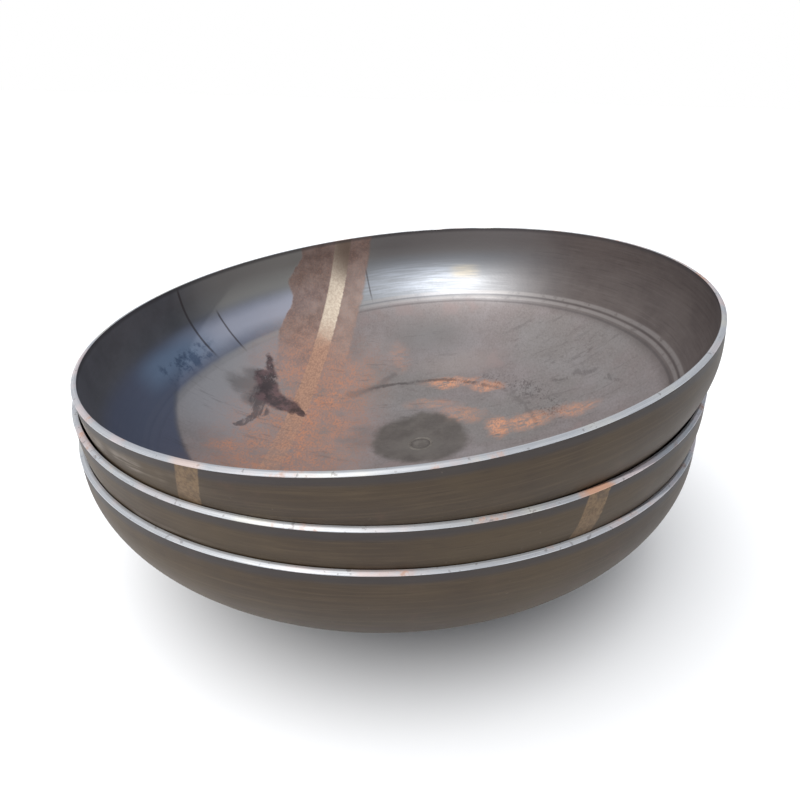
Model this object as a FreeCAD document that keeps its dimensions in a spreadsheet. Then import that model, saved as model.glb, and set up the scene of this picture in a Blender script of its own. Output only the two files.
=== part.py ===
"""Three large butt-weld pipe caps, resting one inside the next with their open ends up.

Each cap is a 2:1 ellipsoidal head, NPS 48 (outside diameter 1219.2 mm), pressed from a blank
of two plates joined by one seam, with the pilot hole at its centre closed by a welded plug.
Five pieces a cap: major plate, minor plate, seam weld, centre plug, plug weld.

Units are millimetres. +Z is up. The origin is the lowest point of the bottom cap's crown.
"""
import math
import os

import FreeCAD
import Part
import Sketcher
from FreeCAD import Placement, Rotation, Vector

# ------------------------------------------------------------------ sizes, in millimetres and degrees
SIZES = {
    "outer_dia": 1219.2,        # NPS 48
    "wall": 9.53,               # standard wall
    "cap_height": 343.0,        # end to end of the crown, outside
    "root_land": 4.0,           # flat ring left at the inside of the weld bevel
    "bevel_angle": 30.0,        # slope of the weld bevel, from the plane of the open end
    "seam_width": 16.0,         # width of the weld metal between the two plates
    "seam_reach": 224.0,        # from the cap's axis to the seam, at the open end
    "seam_lean": 15.1,          # the pressed seam leans out towards the crown
    "plug_dia": 44.0,           # plug that closes the pilot hole
    "plug_weld_dia": 58.0,      # outside of the ring of weld round the plug
    "plug_weld_crown": 1.6,     # how far that ring stands proud inside the cap
}

# How each cap sits in the one below: lean about the lower cap's X and Y, the sideways shift
# that the lean brings, and the rise from rim to rim. The bottom cap stands level.
SEATS = {
    "middle": {"lean_x": 1.887, "lean_y": -1.322, "shift_x": 2.80, "shift_y": 4.00, "rise": 88.98},
    "top": {"lean_x": 0.153, "lean_y": -4.487, "shift_x": 9.52, "shift_y": 0.32, "rise": 89.26},
}

# Which way each cap's minor plate faces, turned about the cap's own axis from +X.
MINOR_PLATE_FACES = {"bottom": 95.0, "middle": 233.5, "top": 178.35}

CAPS = ("bottom", "middle", "top")


# ------------------------------------------------------------------ document and size sheet
doc = FreeCAD.newDocument("pipe_caps")
sheet = doc.addObject("Spreadsheet::Sheet", "Sizes")
for row, (alias, value) in enumerate(SIZES.items(), start=1):
    sheet.set(f"A{row}", alias)
    sheet.set(f"B{row}", str(value))
    sheet.setAlias(f"B{row}", alias)
doc.recompute()

# The same few lengths are needed in several places: as expressions on the sheet, and as numbers.
OUTER_R = "Sizes.outer_dia / 2"
INNER_R = "(Sizes.outer_dia / 2 - Sizes.wall)"
INNER_DEPTH = "((Sizes.outer_dia / 2 - Sizes.wall) / 2)"
OUTER_DEPTH = "((Sizes.outer_dia / 2 - Sizes.wall) / 2 + Sizes.wall)"
BEVEL_DROP = "(Sizes.wall - Sizes.root_land) * tan(Sizes.bevel_angle * 1 deg)"

outer_r = SIZES["outer_dia"] / 2
inner_r = outer_r - SIZES["wall"]
inner_depth = inner_r / 2
outer_depth = inner_depth + SIZES["wall"]


def tilt(lean_x, lean_y):
    """Rotation by one small turn about the level axis (lean_x, lean_y), in degrees."""
    axis = Vector(lean_x, lean_y, 0)
    return Rotation(axis, axis.Length) if axis.Length else Rotation()


def seat_on(lower, seat):
    """Placement of a cap that rests in the mouth of the cap placed at `lower`."""
    turn = tilt(seat["lean_x"], seat["lean_y"])
    rim = Vector(seat["shift_x"], seat["shift_y"], SIZES["cap_height"] + seat["rise"])
    return lower * Placement(rim + turn * Vector(0, 0, -SIZES["cap_height"]), turn)


def origin_plane(body, role):
    """One of the body's own reference planes or axes, found by its role."""
    return next(o for o in body.Origin.OriginFeatures if o.Role == role)


def new_sketch(body, name):
    """A sketch on the body's XZ plane: sketch X is radius, sketch Y is height."""
    sketch = body.newObject("Sketcher::SketchObject", name)
    sketch.AttachmentSupport = (origin_plane(body, "XZ_Plane"), [""])
    sketch.MapMode = "FlatFace"
    return sketch


def bind(sketch, kind, places, value, expression):
    """Add one dimension to a sketch and tie it to the size sheet."""
    index = sketch.addConstraint(Sketcher.Constraint(kind, *places, value))
    sketch.setExpression(f"Constraints[{index}]", expression)


def revolve(body, name, sketch):
    """Turn the sketch right round the body's vertical axis."""
    turned = body.newObject("PartDesign::Revolution", name)
    turned.Profile = sketch
    turned.ReferenceAxis = (sketch, ["V_Axis"])
    turned.Angle = 360.0
    sketch.Visibility = False
    body.Tip = turned
    return turned


# ------------------------------------------------------------------ the pressed head, whole
def dish_height(depth, radius, at):
    """Height of an elliptical dish above its lowest point, `at` from the axis."""
    return depth * (1 - math.sqrt(1 - (at / radius) ** 2))


def head(cap, place):
    """The pressed head with its pilot hole, before it is told apart into plates and seam."""
    body = doc.addObject("PartDesign::Body", f"{cap}_head")
    sketch = new_sketch(body, f"{cap}_head_profile")
    tangent = outer_depth                       # height where the dish meets the straight flange
    rim = SIZES["cap_height"]
    land = inner_r + SIZES["root_land"]
    bevel_drop = (SIZES["wall"] - SIZES["root_land"]) * math.tan(math.radians(SIZES["bevel_angle"]))
    hole = SIZES["plug_weld_dia"] / 2
    low = Vector(hole, dish_height(outer_depth, outer_r, hole), 0)
    high = Vector(hole, SIZES["wall"] + dish_height(inner_depth, inner_r, hole), 0)

    def arc(radius, depth):
        """Quarter of a dish, from the hole round to the flange, with its axes shown."""
        ellipse = Part.Ellipse(Vector(0, tangent, 0), radius, depth)
        first_angle = 1.5 * math.pi + math.asin(hole / radius)
        index = sketch.addGeometry(Part.ArcOfEllipse(ellipse, first_angle, 2 * math.pi), False)
        long_axis = sketch.GeometryCount
        sketch.exposeInternalGeometry(index)    # adds the long axis, then the short one
        return index, long_axis, long_axis + 1

    def straight(begin, finish):
        return sketch.addGeometry(Part.LineSegment(begin, finish), False)

    outer_arc, outer_long, outer_short = arc(outer_r, outer_depth)
    inner_arc, inner_long, inner_short = arc(inner_r, inner_depth)
    outer_flange = straight(Vector(outer_r, tangent, 0), Vector(outer_r, rim - bevel_drop, 0))
    bevel = straight(Vector(outer_r, rim - bevel_drop, 0), Vector(land, rim, 0))
    root = straight(Vector(land, rim, 0), Vector(inner_r, rim, 0))
    inner_flange = straight(Vector(inner_r, rim, 0), Vector(inner_r, tangent, 0))
    hole_wall = straight(high, low)

    start, end, centre = 1, 2, 3
    origin = (-1, 1)

    def join(*places):
        sketch.addConstraint(Sketcher.Constraint("Coincident", *places))

    join(outer_arc, end, outer_flange, start)
    join(outer_flange, end, bevel, start)
    join(bevel, end, root, start)
    join(root, end, inner_flange, start)
    join(inner_flange, end, inner_arc, end)
    join(inner_arc, start, hole_wall, start)
    join(hole_wall, end, outer_arc, start)
    join(outer_arc, centre, inner_arc, centre)
    sketch.addConstraint(Sketcher.Constraint("PointOnObject", outer_arc, centre, -2))
    for line in (outer_flange, inner_flange, hole_wall):
        sketch.addConstraint(Sketcher.Constraint("Vertical", line))
    for line in (root, outer_long, inner_long):
        sketch.addConstraint(Sketcher.Constraint("Horizontal", line))
    for index in (outer_arc, inner_arc):
        sketch.addConstraint(Sketcher.Constraint("Horizontal", index, centre, index, end))

    bind(sketch, "DistanceY", (*origin, outer_arc, centre), tangent, OUTER_DEPTH)
    bind(sketch, "DistanceX", (outer_arc, centre, outer_arc, end), outer_r, OUTER_R)
    bind(sketch, "DistanceX", (inner_arc, centre, inner_arc, end), inner_r, INNER_R)
    bind(sketch, "Distance", (outer_short,), 2 * outer_depth, f"2 * {OUTER_DEPTH}")
    bind(sketch, "Distance", (inner_short,), 2 * inner_depth, f"2 * {INNER_DEPTH}")
    bind(sketch, "DistanceX", (*origin, hole_wall, end), hole, "Sizes.plug_weld_dia / 2")
    bind(sketch, "DistanceY", (*origin, root, end), rim, "Sizes.cap_height")
    bind(sketch, "DistanceX", (root, end, root, start), SIZES["root_land"], "Sizes.root_land")
    bind(sketch, "DistanceY", (bevel, start, bevel, end), bevel_drop, BEVEL_DROP)
    doc.recompute()
    revolve(body, f"{cap}_head_turned", sketch)
    body.Placement = place
    doc.recompute()
    return body


# ------------------------------------------------------------------ cutters
def slab(name, place, start, thickness):
    """A block square to the seam, from `start` to `start + thickness` across it."""
    block = doc.addObject("Part::Box", name)
    block.setExpression("Length", thickness)
    block.setExpression("Width", "2 * Sizes.outer_dia")
    block.setExpression("Height", "2 * Sizes.outer_dia")
    corner = Vector(start, -SIZES["outer_dia"], -SIZES["outer_dia"])
    block.Placement = place * Placement(corner, Rotation())
    return block


def share(name, one, other):
    """The space that two objects both fill."""
    result = doc.addObject("Part::Common", name)
    result.Base = one
    result.Tool = other
    return result


# ------------------------------------------------------------------ plug and its ring of weld
def centre_plug(cap, place):
    """Flat disc of the same plate, set in the pilot hole."""
    disc = doc.addObject("Part::Cylinder", f"{cap}_centre_plug")
    disc.setExpression("Radius", "Sizes.plug_dia / 2")
    disc.setExpression("Height", "Sizes.wall")
    disc.Placement = place
    return disc


def plug_weld(cap, place):
    """Weld ring, flush outside the cap and standing a little proud inside it."""
    body = doc.addObject("PartDesign::Body", f"{cap}_plug_weld")
    sketch = new_sketch(body, f"{cap}_plug_weld_profile")
    near, far = SIZES["plug_dia"] / 2, SIZES["plug_weld_dia"] / 2
    wall, crown = SIZES["wall"], SIZES["plug_weld_crown"]
    low = dish_height(outer_depth, outer_r, far)
    high = wall + dish_height(inner_depth, inner_r, far)
    corner = {
        "near_low": Vector(near, 0, 0),
        "far_low": Vector(far, low, 0),
        "far_high": Vector(far, high, 0),
        "near_high": Vector(near, wall, 0),
    }
    summit = Vector((near + far) / 2, high + crown, 0)
    under = sketch.addGeometry(Part.LineSegment(corner["near_low"], corner["far_low"]), False)
    outside = sketch.addGeometry(Part.LineSegment(corner["far_low"], corner["far_high"]), False)
    bead = sketch.addGeometry(Part.Arc(corner["far_high"], summit, corner["near_high"]), False)
    inside = sketch.addGeometry(Part.LineSegment(corner["near_high"], corner["near_low"]), False)
    start, end = 1, 2
    for pair in ((under, end, outside, start), (outside, end, bead, start),
                 (bead, end, inside, start), (inside, end, under, start)):
        sketch.addConstraint(Sketcher.Constraint("Coincident", *pair))
    for side in (outside, inside):
        sketch.addConstraint(Sketcher.Constraint("Vertical", side))
    sketch.addConstraint(Sketcher.Constraint("PointOnObject", under, start, -1))

    origin = (-1, 1)
    far_text = "Sizes.plug_weld_dia / 2"
    low_text = f"{OUTER_DEPTH} * (1 - sqrt(1 - (({far_text}) / ({OUTER_R}))^2))"
    high_text = f"Sizes.wall + {INNER_DEPTH} * (1 - sqrt(1 - (({far_text}) / {INNER_R})^2))"
    bind(sketch, "DistanceX", (*origin, under, start), near, "Sizes.plug_dia / 2")
    bind(sketch, "DistanceX", (*origin, under, end), far, far_text)
    bind(sketch, "DistanceY", (*origin, under, end), low, low_text)
    bind(sketch, "DistanceY", (*origin, bead, start), high, high_text)
    bind(sketch, "DistanceY", (*origin, bead, end), wall, "Sizes.wall")
    bind(sketch, "Radius", (bead,), sketch.Geometry[bead].Radius,
         "(((Sizes.plug_weld_dia - Sizes.plug_dia) / 4)^2 + Sizes.plug_weld_crown^2)"
         " / (2 * Sizes.plug_weld_crown)")
    doc.recompute()
    revolve(body, f"{cap}_plug_weld_turned", sketch)
    body.Placement = place
    doc.recompute()
    return body


# ------------------------------------------------------------------ one cap
def build_cap(cap, place):
    """The five pieces of one cap, as {node name: object}."""
    whole = head(cap, place)

    # The seam's own frame: local X runs across the seam, from the major to the minor plate.
    facing = place * Placement(Vector(), Rotation(Vector(0, 0, 1), MINOR_PLATE_FACES[cap]))
    seam = facing * Placement(Vector(SIZES["seam_reach"], 0, SIZES["cap_height"]),
                              Rotation(Vector(0, 1, 0), -SIZES["seam_lean"]))
    half = SIZES["seam_width"] / 2
    beyond = slab(f"{cap}_beyond_seam", seam, half, "2 * Sizes.outer_dia")
    between = slab(f"{cap}_seam_slab", seam, -half, "Sizes.seam_width")
    behind = slab(f"{cap}_behind_seam", seam, -half - 2 * SIZES["outer_dia"], "2 * Sizes.outer_dia")
    nodes = {
        f"{cap}_major_plate": share(f"{cap}_major_plate", whole, behind),
        f"{cap}_minor_plate": share(f"{cap}_minor_plate", whole, beyond),
        f"{cap}_seam_weld": share(f"{cap}_seam_weld", whole, between),
        f"{cap}_centre_plug": centre_plug(cap, place),
        f"{cap}_plug_weld": plug_weld(cap, place),
    }
    doc.recompute()
    return nodes


# ------------------------------------------------------------------ the stack
places = {"bottom": Placement()}
places["middle"] = seat_on(places["bottom"], SEATS["middle"])
places["top"] = seat_on(places["middle"], SEATS["top"])

pieces = {}
for cap in CAPS:
    pieces.update(build_cap(cap, places[cap]))
doc.recompute()

for thing in doc.Objects:
    if "Invalid" in thing.State or "Error" in thing.State:
        raise RuntimeError(f"{thing.Name} did not build: {thing.State}")

# ------------------------------------------------------------------ one STEP file a piece
os.makedirs("parts", exist_ok=True)
for name, thing in pieces.items():
    thing.Label = name
    shape = thing.Shape
    if shape.isNull() or not shape.isValid() or len(shape.Solids) != 1:
        raise RuntimeError(f"{name} is not one valid solid")
    shape.exportStep(f"parts/{name}.step")
    print(name, "solids", len(shape.Solids), "volume cm3", round(shape.Volume / 1000, 1))
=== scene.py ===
import math

import bmesh
import bpy
import numpy as np
from mathutils import Matrix, Vector


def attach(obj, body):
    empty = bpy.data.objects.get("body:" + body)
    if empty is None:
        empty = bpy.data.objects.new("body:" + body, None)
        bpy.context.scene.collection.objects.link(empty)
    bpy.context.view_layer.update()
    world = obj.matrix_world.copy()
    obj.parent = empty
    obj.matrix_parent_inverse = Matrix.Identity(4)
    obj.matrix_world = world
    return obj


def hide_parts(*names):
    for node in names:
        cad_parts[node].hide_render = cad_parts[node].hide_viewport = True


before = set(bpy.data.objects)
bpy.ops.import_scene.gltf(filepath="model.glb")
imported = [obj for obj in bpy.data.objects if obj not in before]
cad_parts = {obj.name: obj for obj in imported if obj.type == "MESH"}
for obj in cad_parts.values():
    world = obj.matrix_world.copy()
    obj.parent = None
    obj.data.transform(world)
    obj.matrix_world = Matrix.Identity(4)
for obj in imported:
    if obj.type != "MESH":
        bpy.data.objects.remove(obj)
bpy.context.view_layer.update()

# ------------------------------------------------------------------ sizes and places
RADIUS = 0.6096                     # outside, NPS 48
WALL = 0.00953
HEIGHT = 0.343
INNER = RADIUS - WALL
INNER_DEPTH = INNER / 2             # 2:1 ellipsoidal dish
OUTER_DEPTH = INNER_DEPTH + WALL
TANGENT = OUTER_DEPTH               # height where the dish meets the straight flange
LAND = 0.004                        # root face
BEVEL_DROP = (WALL - LAND) * math.tan(math.radians(30))
HOLE = 0.029                        # outside of the plug weld
PLUG = 0.022
SEAM_REACH = 0.224                  # seam plane, from the axis, at the open end
SEAM_LEAN = math.radians(15.1)
SEAM_HALF = 0.008
FACING = math.radians(178.35)       # way the minor plate faces in a cap's own mesh
RING_RADIUS = 0.5335                # ring marks of the die, a little off centre
RING_DRIFT = 0.0075
RING_TURN = math.radians(35)
TURNS = 420                         # steps round a head

# How each upper cap sits in the one below: lean about X and Y in degrees, shift and rise in metres.
SEATS = {
    "middle": (1.887, -1.322, 0.00280, 0.00400, 0.08898),
    "top": (0.153, -4.487, 0.00952, 0.00032, 0.08926),
}
MINOR_PLATE_FACES = {"bottom": 95.0, "middle": 233.5, "top": 178.35}
CAPS = ("bottom", "middle", "top")
# Height, on the leaning side, where the rim of the cap below has rubbed. Nothing is below the bottom cap.
CONTACT = {"middle": 0.268, "top": 0.300}


def seat_on(lower, lean_x, lean_y, shift_x, shift_y, rise):
    axis = Vector((lean_x, lean_y, 0))
    turn = Matrix.Rotation(math.radians(axis.length), 4, axis.normalized())
    rim = Vector((shift_x, shift_y, HEIGHT + rise))
    return lower @ Matrix.Translation(rim) @ turn @ Matrix.Translation((0, 0, -HEIGHT))


PLACES = {"bottom": Matrix.Identity(4)}
PLACES["middle"] = seat_on(PLACES["bottom"], *SEATS["middle"])
PLACES["top"] = seat_on(PLACES["middle"], *SEATS["top"])
# A cap's mesh is made with its seam facing one way, then turned to where that cap's seam is.
FRAMES = {cap: PLACES[cap] @ Matrix.Rotation(math.radians(MINOR_PLATE_FACES[cap]) - FACING, 4, "Z")
          for cap in CAPS}


# ------------------------------------------------------------------ one head, as arrays
def smooth(low, high, x):
    t = np.clip((x - low) / (high - low), 0, 1)
    return t * t * (3 - 2 * t)


def profile():
    """Radius, height and surface (0 inside, 1 end preparation, 2 outside) round the section."""
    near_ring, past_ring = math.asin(0.505 / INNER), math.asin(0.575 / INNER)
    angles = np.unique(np.concatenate([np.linspace(math.asin(HOLE / INNER), math.pi / 2, 120),
                                       np.linspace(near_ring, past_ring, 84)]))
    rows = [(INNER * math.sin(a), TANGENT - INNER_DEPTH * math.cos(a), 0) for a in angles]
    rows += [(INNER, z, 0) for z in np.linspace(TANGENT, HEIGHT - 0.0005, 9)[1:]]
    rows += [(INNER + r, HEIGHT, 1) for r in np.linspace(0.0005, LAND - 0.0003, 4)]
    run = WALL - LAND
    rows += [(INNER + LAND + run * t, HEIGHT - BEVEL_DROP * t, 1) for t in (0.06, 0.35, 0.65, 0.94)]
    rows += [(RADIUS, z, 2) for z in np.linspace(HEIGHT - BEVEL_DROP - 0.0006, TANGENT, 8)]
    rows += [(RADIUS * math.sin(a), TANGENT - OUTER_DEPTH * math.cos(a), 2)
             for a in np.linspace(math.pi / 2, math.asin(HOLE / RADIUS), 110)[1:]]
    return np.array(rows)


def head_arrays():
    rows = profile()
    phi = np.linspace(0, 2 * math.pi, TURNS, endpoint=False)
    r = np.repeat(rows[:, 0:1], TURNS, 1)
    z = np.repeat(rows[:, 1:2], TURNS, 1)
    p = np.repeat(phi[None, :], len(rows), 0)
    kind = rows[:, 2].astype(int)
    # Unit normal of the inner dish, towards the axis and up.
    normal_r = -r / INNER ** 2
    normal_z = -np.minimum(z - TANGENT, 0) / INNER_DEPTH ** 2
    size = np.hypot(normal_r, normal_z)
    # Shallow flats left by the press.
    away = smooth(0.03, 0.12, r) * (1 - smooth(0.300, 0.325, z))
    move = away * (0.00045 * np.sin(5 * p + 1.1 + 6.0 * r) * np.sin(31 * r + 0.7 * np.sin(3 * p))
                   + 0.00030 * np.sin(9 * p - 2.0 * np.sin(14 * r)) * np.cos(47 * z + 2 * p)
                   + 0.00018 * np.sin(17 * p + 23 * z) * np.sin(61 * r + p))
    # Ring marks of the die: distance out from the first ring, height and width of each.
    ring = RING_RADIUS + RING_DRIFT * np.cos(p + RING_TURN)
    for out, high, wide in ((0.0, 0.00030, 0.0028), (0.0105, 0.00020, 0.0030),
                            (-0.0085, -0.00012, 0.0016), (0.0215, 0.00022, 0.0020)):
        fade = (0.75 + 0.25 * np.sin(3 * p + 40 * out)) * (0.56 + 0.44 * np.cos(p - math.radians(25)))
        move = move + high * fade * np.exp(-((r - ring - out) / wide) ** 2)
    move = np.where((kind == 0)[:, None], move, 0)
    # Hand grinding leaves the end preparation a little uneven.
    uneven = 0.00010 * np.sin(23 * p + 1) + 0.00008 * np.sin(57 * p + 2.2) + 0.00006 * np.sin(131 * p)
    uneven = np.where((kind == 1)[:, None], uneven, 0)
    out_r = r + normal_r / size * move + uneven
    out_z = z + normal_z / size * move
    return np.stack([out_r * np.cos(p), out_r * np.sin(p), out_z], -1), kind


def head_mesh():
    verts, kind = head_arrays()
    rows = len(kind)
    me = bpy.data.meshes.new("head")
    i = np.arange(rows)[:, None]
    j = np.arange(TURNS)[None, :]
    i2, j2 = (i + 1) % rows, (j + 1) % TURNS
    quads = np.stack([i * TURNS + j, i2 * TURNS + j, i2 * TURNS + j2, i * TURNS + j2], -1).reshape(-1, 4)
    me.from_pydata(verts.reshape(-1, 3).tolist(), [], quads[:, ::-1].tolist())
    # A face between two rows takes the later surface, apart from the foot of the bevel, which stays
    # end preparation. The wall of the hole counts as outside.
    face_kind = np.maximum(kind, np.roll(kind, -1))
    face_kind = np.where((kind == 1) & (np.roll(kind, -1) == 2), 1, face_kind)
    me.polygons.foreach_set("material_index", np.repeat(face_kind, TURNS).astype(np.int32))
    me.update()
    return me


def cut_piece(whole, keep_from, keep_to):
    """The part of the head between two planes square to the seam; None leaves a side whole."""
    bm = bmesh.new()
    bm.from_mesh(whole)
    normal = Vector((math.cos(FACING) * math.cos(SEAM_LEAN), math.sin(FACING) * math.cos(SEAM_LEAN),
                     math.sin(SEAM_LEAN)))
    point = Vector((SEAM_REACH * math.cos(FACING), SEAM_REACH * math.sin(FACING), HEIGHT))
    for limit, inner in ((keep_from, True), (keep_to, False)):
        if limit is None:
            continue
        made = bmesh.ops.bisect_plane(bm, geom=bm.verts[:] + bm.edges[:] + bm.faces[:], dist=1e-7,
                                      plane_co=point + normal * limit, plane_no=normal,
                                      clear_inner=inner, clear_outer=not inner)
        edges = [e for e in made["geom_cut"] if isinstance(e, bmesh.types.BMEdge)]
        bmesh.ops.edgeloop_fill(bm, edges=edges, mat_nr=1)
    bmesh.ops.triangulate(bm, faces=[f for f in bm.faces if len(f.verts) > 4])
    bmesh.ops.recalc_face_normals(bm, faces=bm.faces[:])
    me = bpy.data.meshes.new("piece")
    bm.to_mesh(me)
    bm.free()
    return me


def dish(depth, radius, r):
    return depth * (1 - math.sqrt(1 - (r / radius) ** 2))


def plug_weld_mesh():
    """Ring of weld: flat underneath, crowned and rippled on top."""
    low, high = dish(OUTER_DEPTH, RADIUS, HOLE), WALL + dish(INNER_DEPTH, INNER, HOLE)
    crown, ripple = 0.0007, 0.00014
    steps, turns = 9, 368
    across = [k / (steps - 1) for k in range(steps)]
    section = [(PLUG, 0.0, 0.0), (HOLE, low, 0.0)]
    section += [(HOLE + (PLUG - HOLE) * t, high + (WALL - high) * t + crown * math.sin(math.pi * t), t)
                for t in across]
    rows = len(section)
    verts, faces = [], []
    for j in range(turns):
        a = 2 * math.pi * j / turns
        for r, z, t in section:
            wave = math.sin(46 * a + 2.2 * math.sin(math.pi * t) + 0.9 * math.sin(5 * a))
            verts.append((r * math.cos(a), r * math.sin(a), z + ripple * wave * math.sin(math.pi * t)))
        for k in range(rows):
            here, there = j * rows, (j + 1) % turns * rows
            faces.append((here + k, there + k, there + (k + 1) % rows, here + (k + 1) % rows))
    me = bpy.data.meshes.new("turned")
    me.from_pydata(verts, [], faces)
    me.update()
    return me


def plug_mesh():
    """Disc with a small rounded edge and a shallow punched dimple in its upper face."""
    bm = bmesh.new()
    rings = [(0.0, 0.0), (0.012, 0.0), (PLUG - 0.0008, 0.0), (PLUG, 0.0005), (PLUG, WALL - 0.0005),
             (PLUG - 0.0008, WALL), (0.017, WALL - 0.0002), (0.011, WALL - 0.0007),
             (0.006, WALL - 0.0010), (0.0, WALL - 0.0011)]
    turns = 128
    rows = []
    for r, z in rings:
        count = turns if r else 1
        rows.append([bm.verts.new((r * math.cos(2 * math.pi * j / turns),
                                   r * math.sin(2 * math.pi * j / turns), z)) for j in range(count)])
    for one, two in zip(rows, rows[1:]):
        for j in range(turns):
            k = (j + 1) % turns
            corner = [one[0]] if len(one) == 1 else [one[j], one[k]]
            other = [two[0]] if len(two) == 1 else [two[k], two[j]]
            bm.faces.new(corner + other)
    bmesh.ops.recalc_face_normals(bm, faces=bm.faces[:])
    me = bpy.data.meshes.new("plug")
    bm.to_mesh(me)
    bm.free()
    return me


# ------------------------------------------------------------------ shader helpers
NO_HEIGHT = 1000                    # scale that leaves height out of an ellipse


def srgb(color):
    """Linear colour from everyday 0-255 values."""
    return tuple(v / 255 / 12.92 if v / 255 <= 0.04045 else ((v / 255 + 0.055) / 1.055) ** 2.4
                 for v in color)


class Nodes:
    """One material, with short names for the shader nodes used below."""

    def __init__(self, name, cap=None):
        self.material = bpy.data.materials.new(name)
        self.material.use_nodes = True
        self.tree = self.material.node_tree
        self.tree.nodes.clear()
        out = self.new("ShaderNodeOutputMaterial")
        self.shader = self.new("ShaderNodeBsdfPrincipled")
        self.tree.links.new(self.shader.outputs[0], out.inputs["Surface"])
        self.place = self.new("ShaderNodeTexCoord").outputs["Object"]
        if cap:                         # the place in the cap's own frame
            back = self.new("ShaderNodeMapping", vector_type="TEXTURE")
            self.put(back.inputs["Vector"], self.place)
            back.inputs["Location"].default_value = FRAMES[cap].translation
            back.inputs["Rotation"].default_value = FRAMES[cap].to_euler("XYZ")
            self.place = back.outputs[0]
        self.stain_place = self.place

    def new(self, kind, **settings):
        node = self.tree.nodes.new(kind)
        for key, value in settings.items():
            setattr(node, key, value)
        return node

    def put(self, socket, value):
        if isinstance(value, bpy.types.NodeSocket):
            self.tree.links.new(value, socket)
        elif socket.type == "RGBA":
            socket.default_value = (*value, 1)
        else:
            socket.default_value = value

    def math(self, operation, a, b=0.0, clamp=False):
        node = self.new("ShaderNodeMath", operation=operation, use_clamp=clamp)
        self.put(node.inputs[0], a)
        self.put(node.inputs[1], b)
        return node.outputs[0]

    def add(self, a, b):
        return self.math("ADD", a, b)

    def sub(self, a, b):
        return self.math("SUBTRACT", a, b)

    def mul(self, *values):
        total = values[0]
        for value in values[1:]:
            total = self.math("MULTIPLY", total, value)
        return total

    def largest(self, *values):
        total = values[0]
        for value in values[1:]:
            total = self.math("MAXIMUM", total, value)
        return total

    def clamp(self, value):
        return self.math("ADD", value, 0.0, clamp=True)

    def step(self, value, low, high):
        """Smooth step, 0 at low and 1 at high; low may be above high."""
        node = self.new("ShaderNodeMapRange", interpolation_type="SMOOTHSTEP")
        ends = (low, high, 0.0, 1.0) if low <= high else (high, low, 1.0, 0.0)
        for socket, v in zip(list(node.inputs)[:5], (value, *ends)):
            self.put(socket, v)
        return node.outputs[0]

    def near(self, value, centre, outer, inner):
        """1 within inner of the centre, 0 beyond outer."""
        return self.step(self.math("ABSOLUTE", self.sub(value, centre)), outer, inner)

    def ruffle(self, value, noise, reach):
        """The value moved by up to half the reach either way."""
        return self.add(value, self.mul(self.sub(noise, 0.5), reach))

    def vector(self, operation, *values, scale=None):
        """Vector maths; a number for LENGTH and DOT_PRODUCT, otherwise a vector."""
        node = self.new("ShaderNodeVectorMath", operation=operation)
        for socket, value in zip(node.inputs, values):
            self.put(socket, value)
        if scale is not None:
            self.put(node.inputs["Scale"], scale)
        return node.outputs["Value" if operation in ("LENGTH", "DOT_PRODUCT") else "Vector"]

    def scaled(self, by, turn=0.0):
        """The place, turned about the axis and stretched, for noise with a grain."""
        node = self.new("ShaderNodeMapping")
        self.put(node.inputs["Vector"], self.place)
        node.inputs["Scale"].default_value = by
        node.inputs["Rotation"].default_value = (0, 0, turn)
        return node.outputs[0]

    def noise(self, scale, detail, rough, seed, vector=None, output="Fac"):
        node = self.new("ShaderNodeTexNoise", noise_dimensions="4D")
        self.put(node.inputs["Vector"], vector or self.place)
        for name, value in (("Scale", scale), ("Detail", detail), ("Roughness", rough), ("W", seed)):
            node.inputs[name].default_value = value
        return node.outputs[output]

    def mix(self, factor, a, b):
        node = self.new("ShaderNodeMix", data_type="RGBA")
        for socket, value in ((node.inputs["Factor"], factor), (node.inputs[6], a), (node.inputs[7], b)):
            self.put(socket, value)
        return node.outputs[2]

    def two_tone(self, mask, dark, light):
        return self.mix(mask, srgb(dark), srgb(light))

    def tint(self, color, toward, *amounts):
        """Colour taken toward another by the product of the amounts."""
        return self.mix(self.mul(*amounts), color, srgb(toward))

    def blend(self, factor, a, b):
        """Number between a and b."""
        node = self.new("ShaderNodeMix", data_type="FLOAT")
        for socket, value in ((node.inputs["Factor"], factor), (node.inputs[2], a), (node.inputs[3], b)):
            self.put(socket, value)
        return node.outputs[0]

    def xyz(self):
        node = self.new("ShaderNodeSeparateXYZ")
        self.put(node.inputs[0], self.place)
        return node.outputs

    def radius(self):
        x, y, _ = self.xyz()
        return self.math("SQRT", self.add(self.mul(x, x), self.mul(y, y)))

    def across_seam(self):
        """Signed distance from the seam plane, positive on the minor plate."""
        x, y, z = self.xyz()
        outward = self.add(self.mul(x, math.cos(FACING)), self.mul(y, math.sin(FACING)))
        return self.add(self.mul(self.sub(outward, SEAM_REACH), math.cos(SEAM_LEAN)),
                        self.mul(self.sub(z, HEIGHT), math.sin(SEAM_LEAN)))

    def along_seam(self):
        """Level distance along the seam from the middle of the head."""
        x, y, _ = self.xyz()
        return self.add(self.mul(x, -math.sin(FACING)), self.mul(y, math.cos(FACING)))

    def ragged(self, seed, steps):
        """Shift the place stains are drawn at by noise, so that no stain has a drawn outline."""
        total = self.place
        for scale, reach in steps:
            colored = self.noise(scale, 4.0, 0.6, seed + scale, output="Color")
            centred = self.vector("SUBTRACT", colored, (0.5, 0.5, 0.5))
            total = self.vector("ADD", total, self.vector("MULTIPLY", centred, (reach, reach, reach)))
        self.stain_place = total

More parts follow.
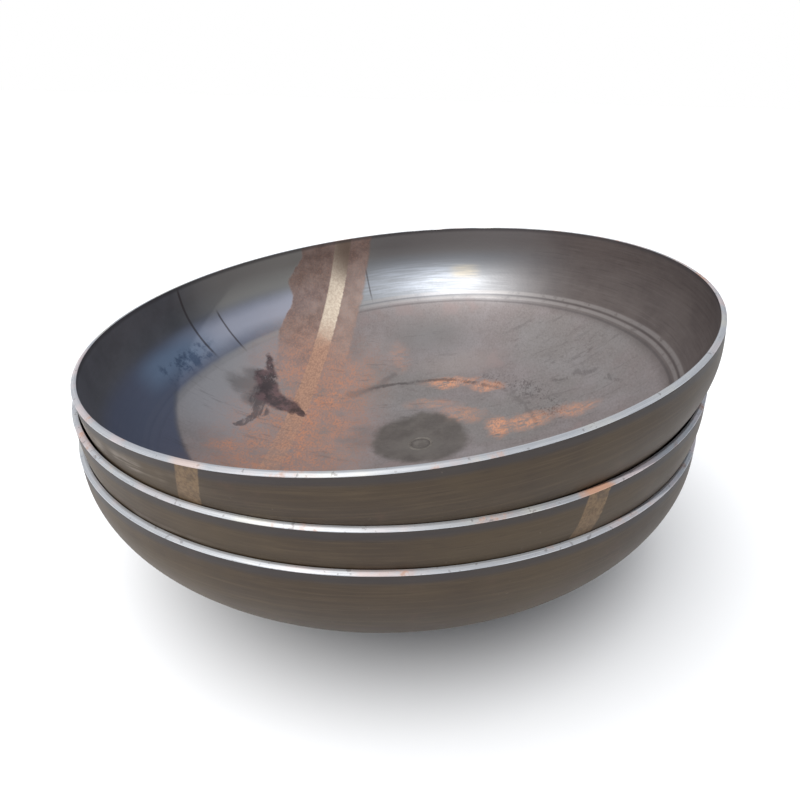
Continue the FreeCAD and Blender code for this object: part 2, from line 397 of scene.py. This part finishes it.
    def oval(self, x, y, half_x, half_y, turn, soft):
        """Mask of an ellipse seen along the cap's axis."""
        node = self.new("ShaderNodeMapping", vector_type="TEXTURE")
        self.put(node.inputs["Vector"], self.stain_place)
        node.inputs["Location"].default_value = (x, y, 0)
        node.inputs["Rotation"].default_value = (0, 0, math.radians(turn))
        node.inputs["Scale"].default_value = (half_x, half_y, NO_HEIGHT)
        return self.step(self.vector("LENGTH", node.outputs[0]), 1.0, 1.0 - soft)

    def stroke(self, start, end, half, soft):
        """Mask of a thick straight stroke between two points, seen along the cap's axis."""
        flat = self.vector("MULTIPLY_ADD", self.stain_place, (1, 1, 0), (-start[0], -start[1], 0))
        way_x, way_y = end[0] - start[0], end[1] - start[1]
        size = way_x ** 2 + way_y ** 2
        along = self.clamp(self.vector("DOT_PRODUCT", flat, (way_x / size, way_y / size, 0)))
        back = self.vector("SCALE", (-way_x, -way_y, 0), scale=along)
        apart = self.vector("LENGTH", self.vector("ADD", flat, back))
        return self.step(apart, half, half * (1 - soft))

    def strokes(self, rows):
        return self.largest(*(self.stroke(*row) for row in rows))

    def line(self, angle, half, low, high, waver):
        """Mask of a thin run down the wall at one angle, between two heights."""
        x, y, z = self.xyz()
        a = math.radians(angle)
        across = self.sub(self.mul(x, math.sin(a)), self.mul(y, math.cos(a)))
        outward = self.add(self.mul(x, math.cos(a)), self.mul(y, math.sin(a)))
        return self.mul(self.near(self.ruffle(across, waver, 0.006), 0.0, half, half * 0.4),
                        self.step(outward, 0.1, 0.15),
                        self.step(z, low, low + 0.03), self.step(z, high, high - 0.02))

    def bump(self, height, strength, distance, normal=None):
        node = self.new("ShaderNodeBump")
        self.put(node.inputs["Height"], height)
        node.inputs["Strength"].default_value = strength
        node.inputs["Distance"].default_value = distance
        if normal is not None:
            self.put(node.inputs["Normal"], normal)
        return node.outputs[0]

    def finish(self, color, rough, metallic, normal=None):
        self.put(self.shader.inputs["Base Color"], color)
        self.put(self.shader.inputs["Roughness"], rough)
        self.put(self.shader.inputs["Metallic"], metallic)
        if normal is not None:
            self.put(self.shader.inputs["Normal"], normal)
        return self.material


# ------------------------------------------------------------------ stains of the top cap
# Rust patches: x, y, half width, half length, turn in degrees, strength. All have the same soft edge.
PATCH_SOFT = 0.85
CROWN_PATCHES = (
    (0.070, 0.244, 0.094, 0.028, -6, 1.15), (0.160, 0.206, 0.064, 0.028, -28, 0.9),
    (0.178, 0.030, 0.036, 0.064, 10, 1.25), (0.240, 0.026, 0.086, 0.048, -14, 0.9),
    (0.345, 0.012, 0.070, 0.036, -20, 0.65), (-0.072, 0.350, 0.045, 0.075, 5, 0.22),
    (0.020, 0.165, 0.085, 0.030, -5, 0.35), (0.095, 0.110, 0.085, 0.050, -20, 0.45),
)
SEAM_PATCHES = (
    (-0.225, 0.180, 0.055, 0.110, -18, 1.0), (-0.205, 0.090, 0.060, 0.060, 0, 0.8),
    (-0.270, 0.055, 0.080, 0.050, 35, 0.7), (-0.335, -0.045, 0.120, 0.075, 38, 0.80),
    (-0.400, -0.090, 0.060, 0.045, 38, 0.8),
)
# Strokes: start, end, half width, softness.
DABS = (((0.376, 0.152), (0.418, 0.130), 0.013, 0.7), ((0.320, 0.155), (0.350, 0.143), 0.010, 0.7),
        ((0.440, 0.080), (0.452, 0.050), 0.011, 0.7))
SMUDGE = (((-0.185, 0.205), (-0.126, 0.237), 0.020, 0.8),
          ((-0.126, 0.237), (-0.085, 0.290), 0.016, 0.8))
SCORCH = (((-0.390, 0.280), (-0.376, 0.225), 0.014, 0.7), ((-0.388, 0.212), (-0.372, 0.150), 0.033, 0.4),
          ((-0.370, 0.146), (-0.330, 0.124), 0.033, 0.4), ((-0.330, 0.126), (-0.306, 0.114), 0.022, 0.4),
          ((-0.306, 0.114), (-0.281, 0.104), 0.012, 0.4))
TRAIL = (((-0.392, 0.150), (-0.376, 0.082), 0.022, 0.4), ((-0.378, 0.082), (-0.404, 0.012), 0.010, 0.4))
SHADE = (((-0.432, 0.160), (-0.395, 0.178), 0.044, 0.75),
         ((-0.410, 0.205), (-0.392, 0.120), 0.040, 0.75))
# Runs of dirt down the wall: angle in degrees, half width, lowest and highest point, strength.
RUNS = ((157.2, 0.0044, 0.165, 0.345, 1.0), (148.8, 0.0036, 0.150, 0.262, 1.0),
        (105.6, 0.0030, 0.170, 0.262, 0.8))


# ------------------------------------------------------------------ inside of a cap, layer by layer
class Inside(Nodes):
    """Material of the inside, with the places, noises and areas that its layers share."""

    def __init__(self, cap, seed):
        super().__init__(f"{cap}_inside", cap)
        self.seed = seed
        self.ragged(seed + 31, ((11.0, 0.050), (48.0, 0.020), (190.0, 0.007)))
        self.x, self.y, self.z = self.xyz()
        self.r = self.radius()
        self.across, self.along = self.across_seam(), self.along_seam()
        self.broad = self.noise(3.0, 4, 0.6, seed)
        self.patch = self.noise(9.0, 6, 0.65, seed + 3)
        self.blot = self.noise(28.0, 6, 0.7, seed + 5)
        self.grain = self.noise(160.0, 3, 0.6, seed + 7)
        self.fine = self.noise(230.0, 2, 0.55, seed + 8, self.scaled((1.0, 0.55, 1.0), 0.4))
        self.streak = self.noise(1.0, 5, 0.7, seed + 9, self.scaled((150.0, 14.0, 30.0), 0.5))
        self.turned = self.noise(1.0, 4, 0.65, seed + 10, self.scaled((9.0, 9.0, 210.0)))
        # Areas: outside the crown, the back of the wall, the left side.
        self.knuckle = self.step(self.ruffle(self.r, self.blot, 0.010), 0.508, 0.545)
        self.back = self.mul(self.step(self.y, 0.26, 0.50), self.step(self.x, 0.46, 0.12))
        self.side = self.step(self.ruffle(self.x, self.broad, 0.2), -0.05, -0.40)


def crown_color(n):
    """Scale and oxide on the flat middle of the bowl, paler at the left."""
    color = n.two_tone(n.step(n.patch, 0.36, 0.66), (128, 120, 120), (140, 134, 136))
    color = n.tint(color, (106, 99, 101), 0.30, n.step(n.streak, 0.54, 0.72))
    color = n.tint(color, (126, 127, 126), 0.40, n.step(n.broad, 0.46, 0.62))
    color = n.tint(color, (112, 101, 100), 0.30, n.step(n.blot, 0.56, 0.72))
    color = n.tint(color, (96, 88, 88), 0.22, n.step(n.fine, 0.50, 0.66))
    color = n.tint(color, (156, 150, 150), 0.18, n.step(n.fine, 0.46, 0.34))
    pale = n.mul(n.step(n.ruffle(n.x, n.broad, 0.2), -0.22, -0.42), n.step(n.y, -0.16, 0.04))
    color = n.tint(color, (152, 154, 161), 0.7, pale)
    color = n.tint(color, (146, 130, 130), 0.45, n.step(n.ruffle(n.broad, n.patch, 0.6), 0.42, 0.34))
    color = n.tint(color, (119, 118, 119), 0.65, n.oval(0.02, 0.425, 0.190, 0.100, 0, 0.9))
    return n.tint(color, (154, 144, 142), 0.40, n.oval(0.10, 0.310, 0.160, 0.070, 0, 0.8))


def wall_color(n):
    """Smoother wall and knuckle, lightly lined by the press; paler, bluish metal at the back, painted so
    the highlight there reflects blue-silver; cool at the left.
    """
    wall = n.two_tone(n.step(n.patch, 0.3, 0.7), (88, 80, 79), (102, 94, 92))
    wall = n.tint(wall, (112, 105, 103), 0.35, n.step(n.turned, 0.50, 0.66))
    wall = n.tint(wall, (70, 62, 62), 0.30, n.step(n.turned, 0.46, 0.34))
    # Painted reflection: paler, bluish metal at the back, so the highlight there looks blue-silver.
    wall = n.tint(wall, (132, 136, 142), 0.85, n.back)
    wall = n.tint(wall, (126, 120, 116), 0.55, n.back, n.step(n.z, 0.262, 0.290))
    cool = n.two_tone(n.step(n.patch, 0.3, 0.7), (96, 99, 104), (112, 115, 122))
    cool = n.tint(cool, (162, 162, 159), 0.9, n.step(n.y, 0.18, 0.36))
    return n.mix(n.side, wall, cool)


def paint_highlight(n, color):
    """Painted highlight on the back knuckle: a bright bluish streak, and a small yellowish spot on it that
    paints the highlight's warm core.
    """
    bright = n.mul(n.step(n.y, 0.42, 0.54), n.near(n.x, -0.045, 0.25, 0.06),
                   n.near(n.z, 0.215, 0.055, 0.015), n.blend(n.step(n.turned, 0.40, 0.60), 0.45, 1.0))
    color = n.tint(color, (190, 200, 216), 0.44, bright)
    # Painted warm core of the highlight.
    n.worn_spot = n.mul(n.near(n.x, 0.122, 0.055, 0.010), n.near(n.z, 0.229, 0.022, 0.006),
                        n.step(n.y, 0.40, 0.50), n.blend(n.step(n.turned, 0.40, 0.56), 0.4, 1.0))
    return n.tint(color, (196, 184, 158), 0.50, n.worn_spot)


def blue_film(n, color):
    """Painted blue shade over the left knuckle and crown, its inner edge drawn along the key light's
    shadow edge; a painted pale and blue sheen of reflected sky along the knuckle; dark blue freckles.
    """
    # Edge of the shadow cast by the left rim, as a radius that grows toward the back.
    film_edge = n.math("MINIMUM", 0.528, n.add(0.522, n.mul(n.y, 0.265)))
    past_edge = n.sub(n.ruffle(n.r, n.blot, 0.008), film_edge)
    n.film = n.mul(n.step(n.x, -0.26, -0.46), n.step(n.z, 0.270, 0.225), n.step(past_edge, -0.006, 0.008))
    # Painted shade: dark blue inside the key light's shadow.
    color = n.tint(color, (112, 122, 148), 0.75, n.film)
    # Painted reflection of the sky along the knuckle: pale at the back, blue further forward.
    sheen = n.mul(n.near(n.ruffle(n.z, n.patch, 0.020), 0.212, 0.046, 0.006), n.step(n.x, -0.20, -0.34))
    color = n.tint(color, (188, 192, 208), 0.92, sheen, n.step(n.y, 0.10, 0.26))
    color = n.tint(color, (136, 158, 186), 0.88, sheen, n.step(n.y, -0.06, 0.06), n.step(n.y, 0.30, 0.14))
    freckles = n.mul(n.step(n.y, 0.02, 0.08), n.step(n.y, 0.26, 0.18), n.step(n.x, -0.30, -0.40),
                     n.near(n.z, 0.195, 0.030, 0.012), n.step(n.blot, 0.48, 0.60))
    return n.tint(color, (66, 86, 116), 0.7, freckles)


def ring_marks(n, color):
    """Pale worn rings and dark lines where the die ended."""
    angle = n.math("ARCTAN2", n.y, n.x)
    drift = n.mul(n.math("COSINE", n.add(angle, RING_TURN)), RING_DRIFT)
    off = n.sub(n.r, n.add(RING_RADIUS, drift))
    worn = n.largest(n.near(off, 0.0, 0.0045, 0.0015), n.near(off, 0.0105, 0.0050, 0.0015))
    worn = n.mul(worn, n.step(n.blot, 0.30, 0.50))
    color = n.tint(color, (176, 172, 172), worn, n.blend(n.side, 0.32, 0.04))
    dark = n.largest(n.near(off, -0.0085, 0.0034, 0.0008),
                     n.mul(n.near(off, 0.0054, 0.0022, 0.0006), 0.8))
    return n.tint(color, (66, 62, 64), dark, n.blend(n.side, 0.38, 0.06))


def seam_halo(n, color):
    """Rust halo each side of the seam, strongest on the wall."""
    lobe = n.mul(n.math("SINE", n.add(n.mul(n.z, 62.0), n.mul(n.blot, 1.2))), 0.008)
    lobe = n.ruffle(lobe, n.noise(7.5, 2, 0.5, n.seed + 11), 0.050)
    jagged = n.ruffle(n.across, n.blot, 0.020)
    n.halo = n.mul(n.step(n.add(jagged, lobe), 0.112, 0.105), n.step(jagged, -0.079, -0.069),
                   n.step(n.ruffle(n.along, n.patch, 0.30), -0.16, -0.38))
    halo = n.two_tone(n.step(n.blot, 0.35, 0.7), (116, 94, 87), (148, 128, 121))
    halo = n.tint(halo, (166, 150, 144), 0.32, n.step(n.across, 0.0, -0.04), n.step(n.z, 0.285, 0.235))
    halo = n.tint(halo, (168, 130, 112), 0.30, n.step(n.fine, 0.50, 0.62))
    return n.mix(n.mul(n.halo, 0.92), color, halo)


def orange_rust(n, color, own):
    """A soft haze of rust with fine bright grains in it; the top cap has patches of its own."""
    spread = n.mul(n.near(n.across, -0.02, 0.22, 0.04), n.step(n.along, -0.46, -0.24),
                   n.step(n.along, 0.38, 0.12))
    close = n.mul(n.near(n.across, -0.018, 0.100, 0.02), n.step(n.along, -0.34, -0.16))
    rust = n.mul(n.largest(n.mul(spread, 0.75), n.mul(close, 0.95)),
                 n.step(n.add(n.patch, n.mul(n.blot, 0.35)), 0.40, 0.74))
    patches = []
    if own:
        broken_up = n.step(n.noise(1.0, 5, 0.7, n.seed + 17, n.scaled((26.0, 60.0, 26.0))), 0.36, 0.54)
        patches = [n.mul(n.oval(*oval, PATCH_SOFT), strength, broken_up)
                   for *oval, strength in CROWN_PATCHES]
        beside_seam = [n.mul(n.oval(*oval, PATCH_SOFT), strength) for *oval, strength in SEAM_PATCHES]
        rust = n.largest(rust, *patches, *beside_seam)
    n.rust = n.clamp(rust)
    color = n.tint(color, (160, 120, 104), 0.80, n.rust, n.step(n.blend(0.4, n.blot, n.patch), 0.22, 0.56))
    if patches:
        speckle = n.step(n.blend(0.5, n.fine, n.blot), 0.42, 0.54)
        color = n.tint(color, (206, 154, 126), 0.72, n.clamp(n.largest(*patches)),
                       n.blend(speckle, 0.22, 1.0))
    color = n.tint(color, (194, 132, 98), 0.60, n.rust, n.step(n.blend(0.4, n.fine, n.blot), 0.47, 0.58))
    return n.tint(color, (122, 98, 90), 0.40, n.rust, n.step(n.fine, 0.44, 0.36))


def ground_band(n, color):
    """Ground band over the weld: bare metal near the wall, bronzed by rust on the crown."""
    across = n.ruffle(n.across, n.grain, 0.006)
    n.band = n.mul(n.step(across, -0.0230, -0.0190), n.step(across, 0.0210, 0.0170),
                   n.blend(n.step(n.along, -0.14, 0.06), 0.92, 0.42))
    bare = n.two_tone(n.step(n.grain, 0.35, 0.65), (214, 198, 180), (238, 225, 206))
    bronze = n.two_tone(n.step(n.fine, 0.38, 0.62), (170, 134, 116), (192, 152, 130))
    ground = n.mix(n.step(n.ruffle(n.along, n.blot, 0.10), -0.46, -0.34), bare, bronze)
    ground = n.tint(ground, (128, 112, 100), n.step(n.along, -0.515, -0.560))
    return n.mix(n.band, color, ground)


def heat_disc(n, color):
    """Dark heat ring round the closed pilot hole."""
    dark = n.two_tone(n.step(n.blot, 0.35, 0.7), (84, 79, 76), (102, 97, 93))
    color = n.mix(n.mul(n.oval(0.0, 0.020, 0.124, 0.118, 0, 0.20), 0.90), color, dark)
    return n.tint(color, (114, 110, 106), 0.45, n.oval(0.0, 0.0, 0.064, 0.064, 0, 0.5))


def dirt(n):
    """Mask of the top cap's broken arc, flecks, dabs, scrapes and runs of dirt."""
    ahead = n.mul(n.step(n.y, -0.05, 0.03), n.step(n.x, -0.17, -0.10))
    arc = n.mul(n.near(n.r, n.ruffle(0.268, n.patch, 0.06), 0.0075, 0.002), ahead,
                n.step(n.blot, 0.34, 0.50), n.blend(n.step(n.x, 0.13, 0.20), 1.0, 0.40))
    wider = n.add(n.ruffle(0.272, n.patch, 0.06), n.mul(n.step(n.x, 0.15, 0.30), 0.040))
    broken = n.mul(n.near(n.r, wider, 0.040, 0.010), ahead, n.step(n.x, 0.10, 0.19),
                   n.step(n.blend(0.65, n.fine, n.blot), 0.50, 0.60))
    flecks = n.mul(n.oval(0.245, 0.130, 0.050, 0.120, 28, 0.8),
                   n.step(n.noise(42.0, 4, 0.65, n.seed + 21), 0.50, 0.62))
    stretched = n.noise(30.0, 4, 0.65, n.seed + 23, n.scaled((1.0, 2.6, 1.0), 0.3))
    more = n.mul(n.oval(0.385, 0.225, 0.110, 0.085, -20, 0.7), n.step(stretched, 0.51, 0.60))
    scratches = n.noise(1.0, 4, 0.7, n.seed + 25, n.scaled((12.0, 70.0, 12.0), -0.5))
    scrape = n.mul(n.step(scratches, 0.56, 0.66), n.step(n.broad, 0.40, 0.56), n.sub(1.0, n.knuckle))
    dabs = n.mul(n.strokes(DABS), n.step(n.streak, 0.38, 0.52))
    runs = n.largest(*(n.mul(n.line(*run, n.patch), strength) for *run, strength in RUNS))
    return n.largest(n.mul(arc, 0.75), n.mul(broken, 0.6), n.mul(flecks, 0.4), n.mul(more, 0.34),
                     n.mul(dabs, 0.42), n.mul(scrape, 0.26), n.mul(runs, 0.85))


def own_marks(n, color):
    """Marks of the top cap alone: smears, dirt, and a chevron-shaped scorch with a trail."""
    color = n.tint(color, (146, 147, 150), 0.35, n.oval(-0.450, 0.190, 0.070, 0.110, 0, 0.9))
    shade = n.largest(n.mul(n.strokes(SHADE), 0.60), n.mul(n.strokes(SMUDGE), 0.40))
    color = n.tint(color, (88, 84, 85), shade)
    color = n.tint(color, (64, 58, 59), 0.85, dirt(n))
    trail = n.mul(n.strokes(TRAIL), n.step(n.blend(0.4, n.streak, n.blot), 0.40, 0.52))
    color = n.tint(color, (78, 72, 76), 0.75, trail)
    torn = n.largest(n.step(n.x, -0.388, -0.404), n.step(n.y, 0.185, 0.225))
    rough_edge = n.step(n.blend(0.5, n.fine, n.blot), 0.36, 0.47)
    scorch = n.mul(n.strokes(SCORCH), n.blend(torn, 1.0, rough_edge))
    scorched = n.two_tone(n.step(n.blot, 0.42, 0.60), (58, 48, 52), (98, 78, 82))
    return n.mix(n.mul(scorch, 0.90), color, scorched)


# ------------------------------------------------------------------ materials
def inside_material(cap, seed):
    """Pressed inside of a cap: grey-mauve crown, smoother knuckle, rust by the seam."""
    n = Inside(cap, seed)
    own = cap == "top"
    color = n.mix(n.knuckle, crown_color(n), wall_color(n))
    # Painted highlight on the back knuckle.
    color = paint_highlight(n, color)
    # Painted blue shade and painted sky sheen at the left.
    color = blue_film(n, color)
    color = ring_marks(n, color)
    color = seam_halo(n, color)
    color = orange_rust(n, color, own)
    color = ground_band(n, color)
    color = heat_disc(n, color)
    if own:
        color = own_marks(n, color)
    # Fine dark band just inside the open end.
    color = n.tint(color, (64, 62, 66), 0.6, n.step(n.z, 0.331, 0.339))

    rusty = n.clamp(n.largest(n.mul(n.halo, 0.8), n.rust))
    rough = n.blend(n.knuckle, n.blend(n.patch, 0.56, 0.46), n.blend(n.turned, 0.56, 0.40))
    rough = n.blend(rusty, rough, 0.66)
    rough = n.blend(n.band, rough, 0.48)
    metal = n.blend(n.knuckle, 0.30, n.blend(n.back, 0.38, 0.64))
    # Less metal under the painted highlight core.
    metal = n.blend(n.mul(n.worn_spot, 0.8), metal, 0.40)
    # More metallic under the painted blue shade.
    metal = n.blend(n.film, metal, 0.70)
    metal = n.blend(rusty, metal, 0.08)
    metal = n.blend(n.band, metal, 0.40)
    normal = n.bump(n.add(n.mul(n.grain, 0.6), n.mul(n.blot, 0.8)), 0.22, 0.0010)
    normal = n.bump(n.mul(rusty, n.fine), 0.5, 0.0012, normal)
    return n.finish(color, rough, metal, normal)


def rim_material(cap, seed):
    """Ground weld preparation: bright, with fine circular scratches and light flash rust."""
    n = Nodes(f"{cap}_end_preparation", cap)
    x, y, z = n.xyz()
    polar = n.new("ShaderNodeCombineXYZ")
    n.put(polar.inputs[0], n.mul(n.math("ARCTAN2", y, x), 3.0))
    n.put(polar.inputs[1], n.mul(n.radius(), 2600.0))
    n.put(polar.inputs[2], n.mul(z, 2600.0))
    scratch = n.noise(1.0, 3, 0.6, seed, polar.outputs[0])
    stain = n.noise(9.0, 5, 0.65, seed + 2)
    spots = n.noise(46.0, 4, 0.65, seed + 4)
    dots = n.noise(110.0, 2, 0.5, seed + 6)
    cast = n.noise(5.0, 4, 0.6, seed + 8)
    color = n.two_tone(n.step(scratch, 0.35, 0.65), (172, 176, 183), (207, 210, 215))
    color = n.tint(color, (222, 206, 206), 0.7, n.step(cast, 0.50, 0.64))
    color = n.tint(color, (218, 216, 204), 0.6, n.step(cast, 0.46, 0.34))
    color = n.tint(color, (206, 184, 180), 0.6, n.step(stain, 0.54, 0.66))
    rust = n.mul(n.step(stain, 0.53, 0.62), n.step(spots, 0.50, 0.60))
    color = n.tint(color, (176, 134, 112), 0.75, rust)
    color = n.tint(color, (104, 96, 96), 0.45, n.step(dots, 0.63, 0.68))
    at_seam = n.near(n.ruffle(n.across_seam(), spots, 0.03), 0.0, 0.034, 0.014)
    color = n.tint(color, (206, 146, 104), 0.75 if cap == "middle" else 0.30, at_seam)
    rough = n.blend(n.largest(rust, n.mul(at_seam, 0.7)), n.blend(scratch, 0.44, 0.34), 0.6)
    metal = n.blend(n.largest(rust, n.mul(at_seam, 0.6)), 0.55, 0.2)
    return n.finish(color, rough, metal, n.bump(scratch, 0.25, 0.0004))


def scuffs(n, cap, seed, streak):
    """Mask of the scuffs where the rim of the cap below has rubbed."""
    x, y, z = n.xyz()
    low = CONTACT[cap]
    turn = FACING - math.radians(MINOR_PLATE_FACES[cap])        # the leaning side, in this cap's frame
    leaning = n.sub(n.mul(y, -math.sin(turn)), n.mul(x, math.cos(turn)))
    return n.mul(n.step(z, low - 0.004, low + 0.004), n.step(z, low + 0.028, low + 0.010),
                 n.step(n.noise(6.0, 3, 0.6, seed + 16), 0.40, 0.58), n.step(leaning, 0.16, 0.36),
                 n.step(streak, 0.42, 0.54))


def outside_material(cap, seed):
    """Rolled, pressed outside: dark brown-grey oxide with fine level streaks."""
    n = Nodes(f"{cap}_outside", cap)
    z = n.xyz()[2]
    broad = n.noise(4.0, 4, 0.6, seed)
    patch = n.noise(14.0, 5, 0.65, seed + 2)
    streak = n.noise(1.0, 5, 0.65, seed + 4, n.scaled((7.0, 7.0, 240.0)))
    fine = n.noise(1.0, 3, 0.6, seed + 6, n.scaled((26.0, 26.0, 900.0)))
    grain = n.noise(210.0, 3, 0.6, seed + 8)
    color = n.two_tone(n.step(broad, 0.38, 0.64), (70, 57, 40), (60, 48, 36))
    color = n.tint(color, (80, 66, 49), 0.6, n.step(streak, 0.45, 0.68))
    color = n.tint(color, (46, 37, 29), 0.52, n.step(fine, 0.52, 0.70))
    color = n.tint(color, (80, 57, 44), 0.5, n.step(patch, 0.58, 0.75))
    # Blue-black band where grinding the bevel heated the plate.
    color = n.tint(color, (46, 46, 52), 0.6, n.step(n.ruffle(z, patch, 0.010), 0.320, 0.331))
    if cap in CONTACT:
        color = n.tint(color, (150, 141, 132), 0.55, scuffs(n, cap, seed, streak))
    dots = n.step(n.noise(95.0, 2, 0.5, seed + 10), 0.72, 0.76)
    color = n.tint(color, (110, 98, 86), 0.3, dots)
    # Ground band over the seam.
    across = n.ruffle(n.across_seam(), grain, 0.004)
    worn = n.step(n.noise(60.0, 3, 0.6, seed + 12), 0.35, 0.55)
    band = n.mul(n.step(across, -0.0195, -0.0170), n.step(across, 0.0190, 0.0165),
                 n.blend(worn, 0.6, 1.0))
    ground = n.two_tone(n.step(grain, 0.35, 0.65), (98, 77, 55), (120, 98, 72))
    color = n.mix(n.mul(band, 0.88), color, ground)
    rough = n.blend(band, n.blend(patch, 0.64, 0.50), 0.50)
    normal = n.bump(n.add(n.mul(streak, 0.7), n.mul(grain, 0.4)), 0.22, 0.0010)
    return n.finish(color, rough, n.blend(band, 0.32, 0.45), normal)


def weld_material(cap, seed):
    """As-welded bead with heat tint."""
    n = Nodes(f"{cap}_bead", cap)
    heat = n.noise(60.0, 4, 0.6, seed)
    grain = n.noise(420.0, 3, 0.6, seed + 2)
    color = n.two_tone(n.step(heat, 0.35, 0.65), (102, 97, 93), (124, 119, 114))
    color = n.tint(color, (146, 140, 132), 0.25, n.step(grain, 0.5, 0.7))
    return n.finish(color, n.blend(heat, 0.56, 0.46), 0.35, n.bump(grain, 0.4, 0.0005))


def plug_material(cap, seed):
    """Disc of plate, darkened by the heat of the weld round it."""
    n = Nodes(f"{cap}_plug", cap)
    heat = n.noise(70.0, 5, 0.65, seed)
    grain = n.noise(380.0, 3, 0.6, seed + 2)
    color = n.two_tone(n.step(heat, 0.35, 0.65), (94, 89, 86), (112, 107, 103))
    color = n.tint(color, (74, 70, 68), 0.5, n.step(n.radius(), 0.013, 0.021))
    return n.finish(color, n.blend(heat, 0.58, 0.48), 0.30, n.bump(n.add(heat, grain), 0.3, 0.0006))


# ------------------------------------------------------------------ pieces
SHARP = math.radians(24)            # edges sharper than this are shaded as edges


def add_piece(name, mesh, cap, materials):
    me = mesh.copy()
    me.name = name
    me.transform(FRAMES[cap])
    for material in materials:
        me.materials.append(material)
    me.polygons.foreach_set("use_smooth", [True] * len(me.polygons))
    me.set_sharp_from_angle(angle=SHARP)
    obj = bpy.data.objects.new(name, me)
    bpy.context.scene.collection.objects.link(obj)
    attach(obj, f"{cap}_cap")
    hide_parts(name.replace("_detail", ""))


whole = head_mesh()
major = cut_piece(whole, None, -SEAM_HALF)
minor = cut_piece(whole, SEAM_HALF, None)
seam = cut_piece(whole, -SEAM_HALF, SEAM_HALF)
bead, disc = plug_weld_mesh(), plug_mesh()

for number, cap in enumerate(CAPS):
    seed = 10.0 * number + (0.0 if cap == "top" else 3.7)
    plate = [inside_material(cap, seed), rim_material(cap, seed), outside_material(cap, seed)]
    add_piece(f"{cap}_major_plate_detail", major, cap, plate)
    add_piece(f"{cap}_minor_plate_detail", minor, cap, plate)
    add_piece(f"{cap}_seam_weld_detail", seam, cap, plate)
    add_piece(f"{cap}_centre_plug_detail", disc, cap, [plug_material(cap, seed)])
    add_piece(f"{cap}_plug_weld_detail", bead, cap, [weld_material(cap, seed)])


# ------------------------------------------------------------------ floor, light, camera
FLOOR_HALF = 30                     # half its width
FLOOR_DROP = 0.0003                 # below the lowest crown
BACKDROP_SEEN = (1.0, 1.0, 1.0, 1)
BACKDROP_LIGHT = (0.435, 0.455, 0.490, 1)
# The key stands front left and high, in the top cap's own frame: degrees round and up.
KEY_ROUND, KEY_UP = math.radians(233.1), math.radians(56.6)
SENSOR, LENS, SHIFT_X, SHIFT_Y = 36.0, 29.26, -0.0729, 0.0435
CAMERA_AT = (0.1140, -1.2742, 0.9213)
CAMERA_RIGHT = Vector((0.9998, 0.0, 0.0220))
CAMERA_ABOVE = Vector((-0.0193, 0.4814, 0.8763))
CAMERA_FORWARD = Vector((0.0106, 0.8765, -0.4813))


def floor():
    bm = bmesh.new()
    bmesh.ops.create_grid(bm, x_segments=1, y_segments=1, size=FLOOR_HALF)
    me = bpy.data.meshes.new("floor")
    bm.to_mesh(me)
    bm.free()
    obj = bpy.data.objects.new("floor", me)
    obj.location = (0, 0, -FLOOR_DROP)
    bpy.context.scene.collection.objects.link(obj)
    n = Nodes("floor")
    color = n.two_tone(n.noise(0.6, 2, 0.5, 1.0), (238, 238, 238), (243, 243, 243))
    me.materials.append(n.finish(color, 0.9, 0.0))
    return obj


def sun(name, energy, angle, way, color, lit):
    """A distant lamp that lights only the objects in `lit`."""
    lamp = bpy.data.objects.new(name, bpy.data.lights.new(name, "SUN"))
    lamp.data.energy = energy
    lamp.data.angle = math.radians(angle)
    lamp.data.color = color
    lamp.rotation_euler = way.to_track_quat("Z", "Y").to_euler()
    bpy.context.scene.collection.objects.link(lamp)
    receivers = bpy.data.collections.new(f"{name}_receivers")
    for thing in lit:
        receivers.objects.link(thing)
    lamp.light_linking.receiver_collection = receivers


def backdrop():
    """White to the camera, softer and a little cooler as a light."""
    world = bpy.data.worlds.new("studio")
    world.use_nodes = True
    tree = world.node_tree
    ray = tree.nodes.new("ShaderNodeLightPath")
    level = tree.nodes.new("ShaderNodeMix")
    level.data_type = "RGBA"
    level.inputs[6].default_value = BACKDROP_LIGHT
    level.inputs[7].default_value = BACKDROP_SEEN
    tree.links.new(ray.outputs["Is Camera Ray"], level.inputs["Factor"])
    tree.links.new(level.outputs[2], tree.nodes["Background"].inputs["Color"])
    bpy.context.scene.world = world


def place_camera():
    data = bpy.data.cameras.new("camera")
    data.sensor_width, data.lens = SENSOR, LENS
    data.shift_x, data.shift_y = SHIFT_X, SHIFT_Y
    data.clip_start, data.clip_end = 0.05, 100.0
    camera = bpy.data.objects.new("camera", data)
    turn = Matrix((CAMERA_RIGHT, CAMERA_ABOVE, -CAMERA_FORWARD)).transposed()
    camera.matrix_world = Matrix.Translation(CAMERA_AT) @ turn.to_4x4()
    bpy.context.scene.collection.objects.link(camera)
    bpy.context.scene.camera = camera


ground = floor()
pieces = [obj for obj in bpy.context.scene.objects if obj.type == "MESH" and obj is not ground]
backdrop()
key_way = Vector((math.cos(KEY_UP) * math.cos(KEY_ROUND), math.cos(KEY_UP) * math.sin(KEY_ROUND),
                  math.sin(KEY_UP)))
sun("key", 3.1, 1.2, PLACES["top"].to_3x3() @ key_way, (1.0, 0.965, 0.91), pieces)
sun("floor_fill", 3.6, 75, Vector((-0.25, -0.25, 1.0)), (1.0, 1.0, 1.0), [ground])
place_camera()

bpy.context.scene.view_settings.view_transform = "Standard"
